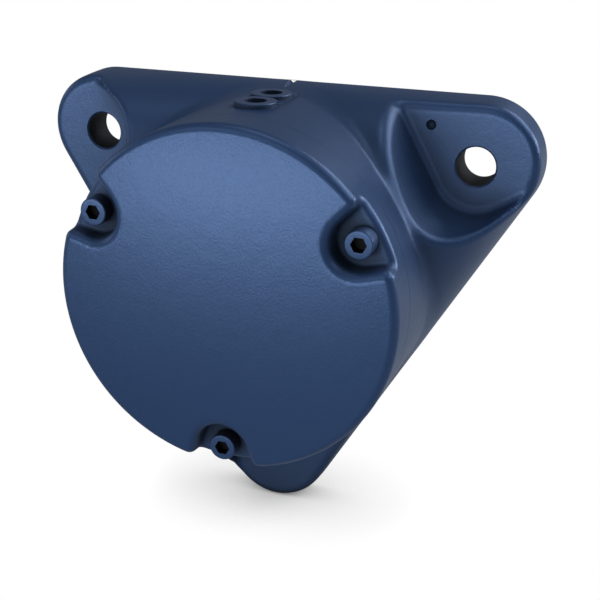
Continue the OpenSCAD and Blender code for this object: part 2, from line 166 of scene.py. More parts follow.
class CoverSizes(bpy.types.PropertyGroup):
    """Sizes of the end cover"""

    top_h: distance("Cover top", "Height of the cover's middle above the mounting face", -COVER_BOX[0].y)
    crown: distance("Crown", "How far the cover's middle bulges beyond its front edge", 4.4 * MM)
    edge_r: distance("Front edge", "Radius of the cover's front edge", 2.8 * MM)
    screw_circle_r: distance("Screw circle", "Cover screws from the shaft axis", 55.8 * MM)
    recess_h: distance("Recess floor", "Height of the recess floors above the mounting face", 65.6 * MM)
    recess_r: distance("Recess radius", "Radius of a recess round its screw", 9 * MM)
    recess_foot: distance("Recess foot", "Radius between a recess floor and its walls", 1 * MM)
    recess_rim: distance("Recess rim", "Radius of the rounded rim of a recess", 3 * MM)
    recess_flare: angle("Recess flare", "How far each side of a recess opens outwards", 18)
    recess_draft: angle("Recess draft", "Lean of the recess walls", 6)
    screw_hole_r: distance("Screw hole", "Radius of the screw holes through the cover", 3.3 * MM)
    spigot_r: distance("Spigot radius", "Outer radius of the spigot", 44.98 * MM)
    spigot_start: distance("Spigot start", "Height of the spigot's rim above the mounting face", 50.8 * MM)
    cavity_r: distance("Cavity radius", "Radius of the hollow in the cover", 39.98 * MM)
    cavity_h: distance("Cavity height", "Height of the hollow's ceiling above the mounting face", 72 * MM)
    cavity_round: distance("Cavity corner", "Radius of the hollow's corner", 4 * MM)


class ScrewSizes(bpy.types.PropertyGroup):
    """Sizes of the three cover screws"""

    head_r: distance("Head radius", "Radius of a screw head", 5 * MM)
    head_h: distance("Head height", "Height of a screw head", 6 * MM)
    head_edge: distance("Head edge", "Rounding of a screw head's edge", 0.6 * MM)
    socket_flats: distance("Socket", "Width across the flats of the hexagon socket", 5 * MM)
    socket_depth: distance("Socket depth", "Depth of the hexagon socket", 3.6 * MM)
    shank_r: distance("Shank radius", "Outer radius of the thread", 3 * MM)
    shank_len: distance("Shank length", "Length of a screw under its head", 20 * MM)
    pitch: distance("Thread pitch", "Pitch of the thread", 1 * MM)
    thread_depth: distance("Thread depth", "Depth of the thread", 0.6 * MM)


class PaintLook(bpy.types.PropertyGroup):
    """Look of the satin blue paint, with painted shade in its hollows and corners"""

    colour: tint("Paint", "Colour of the paint", (0.0135, 0.0435, 0.13))
    deep_colour: tint("Deep paint", "Colour of the paint where it lies thicker", (0.0125, 0.0405, 0.121))
    metallic: share("Metallic", "How metallic the paint reflects", 0.4)
    specular: share("Specular", "How strongly the paint reflects", 0.9)
    specular_tint: tint("Reflection tint", "Colour of the paint's reflections", (0.56, 0.69, 0.86))
    roughness: share("Roughness", "Roughness of the satin paint", 0.38)
    # Painted shade: the two reaches and the depth below darken the paint's colour where walls stand near.
    hollow_reach: distance(
        "Hollow reach", "How near walls are that darken the paint in a wide hollow", 50 * MM)
    corner_reach: distance(
        "Corner reach", "How near walls are that darken the paint in a tight corner", 10 * MM)
    hollow_depth: share("Hollow depth", "How strongly the paint darkens in a hollow", 0.75)
    hollow_dullness: share("Hollow dullness", "How much rougher the paint is in a hollow", 0.45)
    grain: distance("Cast grain", "Size of the cast grain under the paint", 0.9 * MM)
    relief: distance("Cast relief", "Depth of the cast grain under the paint", 0.1 * MM)


class StudioLook(bpy.types.PropertyGroup):
    """Camera, floor and light"""

    place: FloatVectorProperty(
        name="Camera place", description="Where the camera stands", default=(0.142858, -0.403665, 0.142270),
        size=3, precision=5, unit="LENGTH", subtype="TRANSLATION")
    yaw: angle("Yaw", "How far the camera stands round to the right", 21.059)
    pitch: angle("Pitch", "How far the camera looks down", 24.636)
    roll: angle("Roll", "How far the camera leans", 0.375)
    lens: FloatProperty(
        name="Lens", description="Focal length of the camera", default=67.29, min=1.0, unit="CAMERA")
    shift: FloatVectorProperty(
        name="Shift", description="Lens shift, as a share of the frame", default=(0.0654, 0.1126), size=2)
    floor_half: distance("Floor half width", "Half the width of the floor", 6.0)
    floor_colour: tint("Floor", "Colour of the floor", (0.5, 0.5, 0.5))
    ambient: share("Ambient", "Strength of the light from all round", 0.05)
    mirrored: share("Mirrored", "How much of the white background a reflection shows", 0.2)
    # Painted shadow: how far from the part the floor's white fades.
    shadow_reach: distance("Shadow reach", "How far the part's shadow shows on the floor", 38 * MM)


def both_rounded(a, b, r):
    """Field of what lies in both fields, with a convex edge of radius r where they cross."""
    return np.minimum(-r, np.maximum(a, b)) + np.hypot(np.maximum(r + a, 0), np.maximum(r + b, 0))


def either_rounded(a, b, r):
    """Field of what lies in one or both fields, with a hollow fillet of radius r where they cross."""
    return np.maximum(r, np.minimum(a, b)) - np.hypot(np.maximum(r - a, 0), np.maximum(r - b, 0))


def along_arm(x, y, turn):
    """Distances out along an arm and across it."""
    return x * math.cos(turn) + y * math.sin(turn), y * math.cos(turn) - x * math.sin(turn)


def on_each_arm(radius):
    """The three points at one radius from the shaft axis, on the middles of the arms."""
    return [(radius * math.cos(turn), radius * math.sin(turn)) for turn in ARM_TURNS]


def arm_field(size, out, across, h):
    """Distance to one arched arm: half ellipses as wide as the flange, with a round end at the bolt."""
    tiny, least_slope, least_share = 1e-6, 0.5, 0.3
    side_r = size.bolt_circle_r / 2 + size.lug_r
    lean_in = math.radians(30)
    narrowing = math.tan(lean_in)
    half = np.maximum(side_r / math.cos(lean_in) - out * narrowing, size.bolt_hole_r)
    fill = np.maximum(np.sqrt((across / half) ** 2 + (h / size.arm_h) ** 2), tiny)
    lean = np.sqrt(
        (across / half**2) ** 2 + (h / size.arm_h**2) ** 2 + (across**2 * narrowing / half**3) ** 2) / fill
    arch = (fill - 1) / np.maximum(lean, 1 / side_r)
    beyond = out - size.bolt_circle_r
    flat = np.maximum(1 - (h / size.arm_h) ** 2, least_share)
    reach = np.maximum(np.sqrt(beyond**2 + across**2 / flat), tiny)
    slope = np.sqrt(
        beyond**2 + (across / flat) ** 2 + (across**2 * h / (size.arm_h * flat) ** 2) ** 2) / reach
    tip = (reach - size.lug_r) / np.maximum(slope, least_slope)
    start = size.hub_r / 3
    arm = np.where(beyond > size.lug_r / 2, np.maximum(arch, tip), arch)
    return np.maximum(arm, start - out)


def pocket_field(size, out, across, h):
    """Distance to the space of one bolt pocket: two leaning walls with a round corner over a flat seat."""
    lean = (h - size.seat_h - size.pocket_foot) * math.tan(size.pocket_draft)
    wall = (size.pocket_wall - lean - out) * math.cos(size.pocket_draft)
    side = (-size.pocket_side - lean - across) * math.cos(size.pocket_draft)
    walls = both_rounded(wall, side, size.pocket_corner)
    return both_rounded(walls, size.seat_h - h, size.pocket_foot)


def housing_field(size, x, y, h):
    """Distance to the skin of the casting, with every cast edge and corner rounded."""
    arms = 1.0
    pockets = 1.0
    for turn in ARM_TURNS:
        out, across = along_arm(x, y, turn)
        arms = np.minimum(arms, arm_field(size, out, across, h))
        pockets = np.minimum(pockets, pocket_field(size, out, across, h))
    body = both_rounded(arms, -pockets, size.pocket_rim)
    hub = np.hypot(x, y) - size.hub_r
    return either_rounded(body, hub, size.hub_fillet)


def recess_field(size, out, across, h):
    """Distance to the space of one screw recess, which opens outwards through the rim."""
    beyond = out - size.screw_circle_r
    side = np.abs(across)
    cos = math.cos(size.recess_flare)
    sin = math.sin(size.recess_flare)
    straight = side * cos - beyond * sin - size.recess_r
    plan = np.where(beyond * cos + side * sin > 0, straight, np.hypot(beyond, side) - size.recess_r)
    lean = (h - size.recess_h) * math.tan(size.recess_draft)
    return both_rounded((plan - lean) * math.cos(size.recess_draft), size.recess_h - h, size.recess_foot)


def cover_field(size, hub_r, x, y, h):
    """Distance to the skin of the end cover, with its crown, front edge and screw recesses."""
    flat_r = hub_r - size.edge_r
    ball_r = (flat_r**2 + size.crown**2) / (2 * size.crown)
    r = np.hypot(x, y)
    crown = np.hypot(r, h - size.top_h + ball_r) - ball_r
    body = both_rounded(crown, r - hub_r, size.edge_r)
    recesses = 1.0
    for turn in ARM_TURNS:
        out, across = along_arm(x, y, turn)
        recesses = np.minimum(recesses, recess_field(size, out, across, h))
    return both_rounded(body, -recesses, size.recess_rim)


def field_slopes(field, points, reach):
    """Gradient of a field at some points, from small steps each way."""
    slopes = []
    for axis in range(3):
        step = np.zeros(3)
        step[axis] = reach
        slopes.append((field(*(points + step).T) - field(*(points - step).T)) / (2 * reach))
    return np.stack(slopes, -1)


def field_skin(name, field, low, high, step):
    """Closed mesh of a field's zero surface. Its points are moved onto the true surface afterwards."""
    x, y, h = (np.arange(a, b + step, step) for a, b in zip(low, high))
    values = field(x[:, None, None], y[None, :, None], h[None, None, :])
    for axis, count in enumerate(values.shape):
        for edge in (0, count - 1):
            np.moveaxis(values, axis, 0)[edge] = step
    grid = openvdb.FloatGrid(step)
    grid.copyFromArray((values / step).astype(np.float32))
    points, triangles, quads = grid.convertToPolygons(isovalue=0.0, adaptivity=0.0)
    points = points.astype(float) * step + np.array([x[0], y[0], h[0]])
    rounds, least_square = 3, 0.25
    for _ in range(rounds):
        slopes = field_slopes(field, points, step / 10)
        squares = np.maximum((slopes**2).sum(-1, keepdims=True), least_square)
        push = field(*points.T)[:, None] * slopes / squares
        inside = ((points > np.array(low) + 2 * step) & (points < np.array(high) - 2 * step)).all(-1)
        points = points - np.clip(push, -step / 2, step / 2) * inside[:, None]
    return mesh_piece(name, points, [*triangles.tolist(), *quads.tolist()])


def mesh_piece(name, points, faces):
    """Object made from points and faces, with every face turned outwards."""
    mesh = bpy.data.meshes.new(name)
    mesh.from_pydata([tuple(p) for p in points], [], faces)
    if signed_volume(mesh) < 0:
        mesh.flip_normals()
    return placed(name, mesh)


def placed(name, data):
    """New object in the scene for a mesh, a camera or a lamp."""
    item = bpy.data.objects.new(name, data)
    bpy.context.scene.collection.objects.link(item)
    return item


def mesh_points(mesh):
    """Points of a mesh as one array."""
    points = np.zeros(len(mesh.vertices) * 3)
    mesh.vertices.foreach_get("co", points)
    return points.reshape(-1, 3)


def signed_volume(mesh):
    """Volume that a closed mesh holds, negative if it is inside out."""
    mesh.calc_loop_triangles()
    corners = np.zeros(len(mesh.loop_triangles) * 3, np.int32)
    mesh.loop_triangles.foreach_get("vertices", corners)
    a, b, c = np.moveaxis(mesh_points(mesh)[corners.reshape(-1, 3)], 1, 0)
    return float((a * np.cross(b, c)).sum() / 6)


def turned(name, profile, steps=64, centre=(0.0, 0.0)):
    """Solid of revolution about the height. Its profile of (radius, height) starts and ends on the axis."""
    points = []
    rows = []
    for r, h in profile:
        count = 1 if r == 0 else steps
        rows.append([len(points) + i % count for i in range(steps)])
        for i in range(count):
            turn = 2 * math.pi * i / steps
            points.append((centre[0] + r * math.cos(turn), centre[1] + r * math.sin(turn), h))
    return mesh_piece(name, points, ribbon_faces(rows, steps))


def ring(name, profile, steps=96):
    """Ring of revolution about the height, from a closed profile of (radius, height)."""
    points = []
    for r, h in profile:
        for i in range(steps):
            turn = 2 * math.pi * i / steps
            points.append((r * math.cos(turn), r * math.sin(turn), h))
    rows = [[k * steps + i for i in range(steps)] for k in range(len(profile))]
    return mesh_piece(name, points, ribbon_faces([*rows, rows[0]], steps))


def ribbon_faces(rows, steps):
    """Faces between neighbouring rows of points, without the corners that fall together."""
    faces = []
    for low, high in zip(rows, rows[1:]):
        for i in range(steps):
            j = (i + 1) % steps
            corners = [low[i], low[j], high[j], high[i]]
            faces.append([c for k, c in enumerate(corners) if c not in corners[:k]])
    return [face for face in faces if len(face) > 2]


def prism(name, outline, low, high):
    """Straight prism over an outline of (x, y), from one height to another."""
    count = len(outline)
    points = [(*p, low) for p in outline] + [(*p, high) for p in outline]
    sides = [[i, (i + 1) % count, (i + 1) % count + count, i + count] for i in range(count)]
    return mesh_piece(name, points, [list(range(count))[::-1], list(range(count, 2 * count)), *sides])


def arc(centre_r, centre_h, radius, start, end, steps=6):
    """Points of a round corner in a profile, from one angle to another, in degrees."""
    turns = [math.radians(start + (end - start) * i / steps) for i in range(steps + 1)]
    return [(centre_r + radius * math.cos(t), centre_h + radius * math.sin(t)) for t in turns]


def facing_up(piece):
    """Turns a flat drawing so that its height points up, along Y of the flat frame."""
    piece.data.transform(Matrix.Rotation(-math.pi / 2, 4, "X"))
    return piece


def combine(piece, tool, operation="DIFFERENCE"):
    """Cuts the tool out of the piece, or joins it on, and removes the tool."""
    modifier = piece.modifiers.new("combine", "BOOLEAN")
    modifier.solver = "MANIFOLD"
    modifier.operation = operation
    modifier.object = tool
    mesh = bpy.data.meshes.new_from_object(piece.evaluated_get(bpy.context.evaluated_depsgraph_get()))
    if len(mesh.vertices) in (0, len(piece.data.vertices)):
        raise RuntimeError(f"{tool.name} could not be combined with {piece.name}")
    piece.modifiers.clear()
    old = piece.data
    piece.data = mesh
    bpy.data.meshes.remove(old)
    bpy.data.meshes.remove(tool.data)
    return piece


def face_centres(mesh):
    """Centres of the faces of a mesh, as arrays of x, y and height."""
    centres = np.zeros(len(mesh.polygons) * 3)
    mesh.polygons.foreach_get("center", centres)
    return centres.reshape(-1, 3).T


def seat_in_part(piece, body, slot, *nodes, sharp=32):
    """Turns a finished flat drawing into the part's frame, shades it, hangs it under its body and hides the
    CAD nodes it stands for.
    """
    piece.data.transform(FLAT_TO_PART)
    shade(piece, sharp)
    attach(piece, body)
    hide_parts(*nodes)
    return piece


def shade(piece, sharp):
    """Smooth shading, apart from edges sharper than an angle in degrees."""
    piece.data.polygons.foreach_set("use_smooth", [True] * len(piece.data.polygons))
    piece.data.set_sharp_from_angle(angle=math.radians(sharp))


def set_materials(piece, base, *others):
    """Gives a piece its materials. Each of the others comes with an array that marks its faces."""
    piece.data.materials.clear()
    piece.data.materials.append(base)
    index = np.zeros(len(piece.data.polygons), np.int32)
    for number, (material, marked) in enumerate(others, 1):
        piece.data.materials.append(material)
        index[marked] = number
    piece.data.polygons.foreach_set("material_index", index)


class Wire:
    """An output socket that takes part in shader maths written as Python expressions"""

    def __init__(self, shader, socket):
        self.shader = shader
        self.socket = socket

    def maths(self, operation, *values):
        """Result of one operation on the values."""
        return self.shader.add("ShaderNodeMath", {"operation": operation}, *values)["Value"]

    def sine(self):
        """Sine of the value, in radians."""
        return self.maths("SINE", self)

    def __add__(self, other):
        return self.maths("ADD", self, other)

    def __sub__(self, other):
        return self.maths("SUBTRACT", self, other)

    def __rsub__(self, other):
        return self.maths("SUBTRACT", other, self)

    def __mul__(self, other):
        return self.maths("MULTIPLY", self, other)

    def __pow__(self, other):
        return self.maths("POWER", self, other)

    def __rpow__(self, other):
        return self.maths("POWER", other, self)

    __radd__ = __add__
    __rmul__ = __mul__


class Added:
    """A new node, whose outputs are taken by name"""

    def __init__(self, shader, node):
        self.shader = shader
        self.node = node

    def __getitem__(self, name):
        return Wire(self.shader, self.node.outputs[name])


class Shader:
    """A node tree that is filled in by short calls"""

    def __init__(self, owner):
        owner.use_nodes = True
        self.owner = owner
        self.tree = owner.node_tree
        self.tree.nodes.clear()

    def add(self, kind, settings, *values, **named):
        """Adds a node: its settings first, then the values or links of its sockets, in order or by name."""
        node = self.tree.nodes.new(kind)
        for name, value in settings.items():
            setattr(node, name, value)
        by_name = [(node.inputs[name.replace("_", " ")], value) for name, value in named.items()]
        for socket, value in [*zip(node.inputs, values), *by_name]:
            self.fill(socket, value)
        return Added(self, node)

    def fill(self, socket, value):
        """Links a socket to an output, or sets it to a constant."""
        if isinstance(value, Wire):
            self.tree.links.new(value.socket, socket)
        else:
            socket.default_value = value

    def place(self):
        """Where a point lies on the piece, in metres."""
        return self.add("ShaderNodeTexCoord", {})["Object"]

    def noise(self, size, detail=2.0, roughness=0.5):
        """Soft noise between 0 and 1, with grains of a given size in metres."""
        return self.add(
            "ShaderNodeTexNoise", {},
            Vector=self.place(), Scale=1 / size, Detail=detail, Roughness=roughness)["Fac"]

    def between(self, mask, low, high):
        """Mix of two colours by a mask."""
        mixed = self.add("ShaderNodeMix", {"data_type": "RGBA"})
        for name, value in (("Factor_Float", mask), ("A_Color", low), ("B_Color", high)):
            socket = next(s for s in mixed.node.inputs if s.identifier == name)
            self.fill(socket, value if isinstance(value, Wire) else (*value, 1))
        return Wire(self, next(s for s in mixed.node.outputs if s.identifier == "Result_Color"))

    def openness(self, reach):
        """How open a point lies, from 0 in a narrow hollow to 1 where no wall stands within reach."""
        return self.add("ShaderNodeAmbientOcclusion", {"samples": 8}, Distance=reach)["AO"]

    def bump(self, height, depth):
        """Normal from a height between 0 and 1, with its depth in metres."""
        return self.add("ShaderNodeBump", {}, Height=height, Distance=depth, Strength=1.0)["Normal"]

    def surface(self, **named):
        """Ends the tree of a material with a Principled surface, and gives the material."""
        skin = self.add("ShaderNodeBsdfPrincipled", {}, **named)
        self.add("ShaderNodeOutputMaterial", {}, Surface=skin["BSDF"])
        return self.owner


def new_shader(name):
    """Shader of a new material."""
    return Shader(bpy.data.materials.new(name))


def painted_casting(look, name="satin_blue_paint"):
    """Satin blue paint over a fine cast grain, with painted shade darkening it in hollows and tight corners,
    where it is also duller.
    """
    shader = new_shader(name)
    cloud = shader.noise(35 * MM, detail=3.0)
    grain = shader.noise(look.grain, detail=3.0, roughness=0.55)
    swell = shader.noise(9 * look.grain)
    # Painted shade: the paint's colour is darkened by how closed in each point lies.
    hollow_open = shader.openness(look.hollow_reach)
    painted_shade_factor = (hollow_open * shader.openness(look.corner_reach)) ** look.hollow_depth
    paint = shader.between(cloud, look.deep_colour, look.colour)
    return shader.surface(
        Base_Color=shader.between(painted_shade_factor, (0, 0, 0), paint),
        Metallic=look.metallic,
        Specular_IOR_Level=look.specular,
        Specular_Tint=(*look.specular_tint, 1),
        Roughness=(1 - painted_shade_factor) * look.hollow_dullness + look.roughness + (grain - 0.5) * 0.08,
        Normal=shader.bump(grain * 0.6 + swell * 0.9, look.relief))


def bare_iron():
    """Machined cast iron with fine turning marks round the shaft axis."""
    shader = new_shader("machined_iron")
    place = shader.add("ShaderNodeSeparateXYZ", {}, Vector=shader.place())
    radius = (place["X"] * place["X"] + place["Z"] * place["Z"]) ** 0.5
    mark_pitch = 0.35 * MM
    feed = (radius * (2 * math.pi / mark_pitch)).sine()
    pores = shader.noise(0.7 * MM)
    cloud = shader.noise(25 * MM)
    return shader.surface(
        Base_Color=shader.between(cloud, (0.36, 0.365, 0.37), (0.47, 0.475, 0.48)),
        Metallic=0.9,
        Roughness=0.34 + pores * 0.12,
        Normal=shader.bump(feed * 0.25 + pores * 0.5, 0.01 * MM))


def shade_dark_bore():
    """Drilled cast iron in the bolt holes, made near black as painted shade inside the holes."""
    shader = new_shader("painted_shade_bore")
    cloud = shader.noise(4 * MM, detail=3.0)
    return shader.surface(
        Base_Color=shader.between(cloud, (0.004, 0.005, 0.008), (0.012, 0.014, 0.02)),
        Specular_IOR_Level=0.12,
        Roughness=0.6 + cloud * 0.15,
        Normal=shader.bump(cloud, 0.02 * MM))


def bearing_steel(name, colour, roughness, mark=0.12 * MM):
    """Bearing steel with the faint scratches that its last grinding or polishing left."""
    shader = new_shader(name)
    scratch = shader.noise(mark)
    cloud = shader.noise(12 * MM)
    darker = tuple(0.86 * c for c in colour)
    return shader.surface(
        Base_Color=shader.between(cloud, darker, colour),
        Metallic=1.0,
        Roughness=roughness + (scratch - 0.5) * 0.06,
        Normal=shader.bump(scratch, 0.002 * MM))


def socket_painted_shade():
    """Near-black, dull surface inside the screw sockets, standing as painted shade."""
    shader = new_shader("painted_socket_shade")
    cloud = shader.noise(0.8 * MM, detail=3.0)
    return shader.surface(
        Base_Color=shader.between(cloud, (0.002, 0.002, 0.003), (0.006, 0.006, 0.008)),
        Specular_IOR_Level=0.1,
        Roughness=0.55 + cloud * 0.2,
        Normal=shader.bump(cloud, 0.02 * MM))


def rubber():
    """Black seal rubber with a faint bloom."""
    shader = new_shader("seal_rubber")
    bloom = shader.noise(3 * MM, detail=4.0)
    return shader.surface(
        Base_Color=shader.between(bloom, (0.012, 0.012, 0.013), (0.03, 0.03, 0.032)),
        Roughness=0.5 + bloom * 0.2,
        Normal=shader.bump(shader.noise(0.3 * MM), 0.01 * MM))


def wool_felt():
    """Pressed grey wool felt, oiled, with loose fibres."""
    shader = new_shader("wool_felt")
    stretched = shader.add(
        "ShaderNodeMapping", {}, Vector=shader.place(), Scale=(1.0, 0.35, 0.6))["Vector"]
    fibre = shader.add("ShaderNodeTexNoise", {}, Vector=stretched, Scale=3500.0, Detail=4.0)["Fac"]
    matting = shader.noise(2 * MM, detail=3.0)
    return shader.surface(
        Base_Color=shader.between(fibre * 0.6 + matting * 0.4, (0.13, 0.12, 0.1), (0.38, 0.35, 0.29)),
        Roughness=0.95,
        Sheen_Weight=0.4,
        Normal=shader.bump(fibre * 0.7 + matting * 0.3, 0.12 * MM))


class HOUSING_OT_casting(bpy.types.Operator):
    """Build the painted housing casting with its machined bores"""

    bl_idname = "housing.casting"
    bl_label = "Housing casting"

    def execute(self, context):
        size = context.scene.housing.casting
        look = context.scene.housing.paint
        margin = 3 * MM
        reach = size.bolt_circle_r + size.lug_r + margin
        low = (-reach, -reach, -margin)
        high = (reach, size.bolt_circle_r, size.hub_h + margin)
        casting = field_skin(
            "housing_casting", lambda x, y, h: housing_field(size, x, y, h), low, high, CASTING_STEP)
        self.cut_faces(casting, size)
        self.add_ports(casting, size)
        self.cut_bores(casting, size)
        self.cut_bolt_holes(casting, size)
        self.mark_edge(casting, size)
        machined, bored = self.worked_faces(casting, size)
        # The bolt holes' bores get a near-black material that stands as painted shade.
        set_materials(casting, painted_casting(look), (bare_iron(), machined), (shade_dark_bore(), bored))
        seat_in_part(casting, "housing", "painted_casting", "housing")
        return {"FINISHED"}

    def worked_faces(self, casting, size):
        """Marks the machined faces, and those of the bolt holes. The grease ports keep their paint."""
        x, y, h = face_centres(casting.data)
        hub_wall = 8 * MM
        near_port = (np.abs(x) < size.port_r + TOUCH) & (y > size.seat_r + MM)
        within = (np.hypot(x, y) < size.hub_r - hub_wall) & ~near_port
        on_mounting_face = h < TOUCH
        machined = on_mounting_face | (h > size.hub_h - TOUCH) | within
        bored = np.zeros(len(h), bool)
        for bolt_x, bolt_y in on_each_arm(size.bolt_circle_r):
            bored |= np.hypot(x - bolt_x, y - bolt_y) < size.bolt_hole_r + TOUCH
        return machined, bored & ~on_mounting_face

    def cut_faces(self, casting, size):
        """Cuts the mounting face and the joint face flat, with a fine bevel along the joint."""
        wide = 2 * size.bolt_circle_r
        deep = 10 * MM
        below = [(-wide, -wide), (wide, -wide), (wide, wide), (-wide, wide)]
        combine(casting, prism("mounting_face", below, -deep, 0.0))
        edge_r = size.hub_r - size.seam_bevel
        run_out = 2 * MM
        combine(casting, turned("joint_face", [
            (0, size.hub_h), (edge_r, size.hub_h), (edge_r + run_out, size.hub_h - run_out),
            (wide, size.hub_h - run_out), (wide, size.hub_h + deep), (0, size.hub_h + deep)], steps=256))

    def add_ports(self, casting, size):
        """Adds the flat pad and the two port bosses, and bores the ports."""
        r = size.boss_r
        back = size.rear_port_h - 2 * r
        sunk = 8 * MM
        root = size.chamber_r + sunk
        outline = [(-r, -back), (r, -back), *arc(0, -size.front_port_h, r, 0, -180, 32)]
        combine(casting, facing_up(prism("port_pad", outline[::-1], root, size.pad_face)), "UNION")
        edge = size.boss_edge
        middles = [(0, -size.rear_port_h), (0, -size.front_port_h)]
        for middle in middles:
            boss = [(0, root), (r, root), (r, size.boss_face - edge), (r - edge, size.boss_face),
                    (0, size.boss_face)]
            combine(casting, facing_up(turned("port_boss", boss, 96, middle)), "UNION")
        foot = size.boss_face - size.port_depth
        drill_slope = math.radians(30)
        cone = (size.port_r - size.duct_r) * math.tan(drill_slope)
        start = size.chamber_r - 2 * MM
        end = size.boss_face + MM
        for middle in middles:
            bore = [(0, start), (size.duct_r, start), (size.duct_r, foot - cone), (size.port_r, foot),
                    (size.port_r, end), (0, end)]
            combine(casting, facing_up(turned("port", bore, 64, middle)))

    def cut_bores(self, casting, size):
        """Bores the shaft opening, felt groove, chamber, bearing seat, seal groove and the holes for the
        cover screws.
        """
        top = size.hub_h + MM
        lead = 0.5 * MM
        felt_low = (size.rear_wall - size.felt_groove_w) / 2
        felt_high = size.rear_wall - felt_low
        way_r = size.shaft_way_r
        combine(casting, turned("bores", [
            (0, -MM), (way_r + MM + lead, -MM), (way_r, lead), (way_r, felt_low),
            (size.felt_groove_r, felt_low), (size.felt_groove_r, felt_high), (way_r, felt_high),
            (way_r, size.rear_wall), (size.chamber_r, size.rear_wall), (size.chamber_r, size.seat_start),
            (size.seat_r, size.seat_start), (size.seat_r, size.hub_h - lead),
            (size.seat_r + lead + MM, top), (0, top)], steps=192))
        inner = size.seat_r + size.seal_land
        outer = inner + size.seal_groove_w
        floor = size.hub_h - size.seal_groove_depth
        groove = [(inner, floor), (outer, floor), (outer, top), (inner, top)]
        combine(casting, ring("seal_groove", groove, steps=128))
        r = size.thread_hole_r
        drilled = [(0, size.thread_hole_end - r / 2), (r, size.thread_hole_end), (r, top), (0, top)]
        for centre in on_each_arm(bpy.context.scene.housing.cover.screw_circle_r):
            combine(casting, turned("thread_hole", drilled, 48, centre))

    def cut_bolt_holes(self, casting, size):
        """Bores the three fixing bolt holes, with a bevel at each mouth."""
        r = size.bolt_hole_r
        bevel = size.bolt_bevel
        mouth = size.seat_h + bevel
        bore = [(0, -MM), (r, -MM), (r, size.seat_h - bevel), (r + 2 * bevel, mouth), (0, mouth)]
        for centre in on_each_arm(size.bolt_circle_r):
            combine(casting, turned("bolt_hole", bore, 96, centre))

    def mark_edge(self, casting, size):
        """Cuts the notch in the top rear edge and the dimple in one bolt seat."""
        side_r = size.bolt_circle_r / 2 + size.lug_r
        above = 0.05 * MM
        half = size.notch_half
        outline = [(-half, side_r + above), (0, side_r - size.notch_depth), (half, side_r + above)]
        combine(casting, prism("notch", outline, -MM, size.rear_port_h - size.boss_r))
        turn = ARM_TURNS[0]
        out = size.bolt_circle_r - size.dimple_back
        x = out * math.cos(turn) - size.dimple_side * math.sin(turn)
        y = out * math.sin(turn) + size.dimple_side * math.cos(turn)
        half_circle = arc(0, size.seat_h, size.dimple_r, -90, 90, 12)[1:-1]
        profile = [(0, size.seat_h - size.dimple_r), *half_circle, (0, size.seat_h + size.dimple_r)]
        combine(casting, turned("dimple", profile, 32, (x, y)))


class HOUSING_OT_end_cover(bpy.types.Operator):
    """Build the painted end cover with its screw recesses"""

    bl_idname = "housing.end_cover"
    bl_label = "End cover"

    def execute(self, context):
        size = context.scene.housing.cover
        casting = context.scene.housing.casting
        joint_h = casting.hub_h
        margin = 2 * MM
        reach = casting.hub_r + margin
        low = (-reach, -reach, joint_h - margin)
        high = (reach, reach, size.top_h + margin)
        cover = field_skin(
            "painted_cover", lambda x, y, h: cover_field(size, casting.hub_r, x, y, h), low, high, COVER_STEP)
        edge_r = casting.hub_r - casting.seam_bevel
        run_out = MM
        below = joint_h - 5 * MM
        wide = reach + MM
        combine(cover, turned("joint_face", [
            (0, below), (wide, below), (wide, joint_h + run_out),
            (edge_r + run_out, joint_h + run_out), (edge_r, joint_h), (0, joint_h)],
            steps=256))
        lead = 0.5 * MM
        combine(cover, turned("spigot", [
            (0, size.spigot_start), (size.spigot_r - lead, size.spigot_start),
            (size.spigot_r, size.spigot_start + lead), (size.spigot_r, joint_h + MM),
            (0, joint_h + MM)], steps=192), "UNION")
        round_r = size.cavity_round
        combine(cover, turned("cavity", [
            (0, size.spigot_start - MM), (size.cavity_r, size.spigot_start - MM),
            *arc(size.cavity_r - round_r, size.cavity_h - round_r, round_r, 0, 90),
            (0, size.cavity_h)], steps=192))
        hole_r, start, end = size.screw_hole_r, joint_h - MM, size.recess_h + MM
        for centre in on_each_arm(size.screw_circle_r):
            hole = [(0, start), (hole_r, start), (hole_r, end), (0, end)]
            combine(cover, turned("screw_hole", hole, 48, centre))
        x, y, h = face_centres(cover.data)
        inside = (np.hypot(x, y) < size.spigot_r + TOUCH) & (h < size.cavity_h + TOUCH)
        inside |= h < joint_h + TOUCH
        paint = bpy.data.materials["satin_blue_paint"]
        set_materials(cover, paint, (bpy.data.materials["machined_iron"], inside))
        seat_in_part(cover, "housing", "painted_casting", "end_cover")
        return {"FINISHED"}


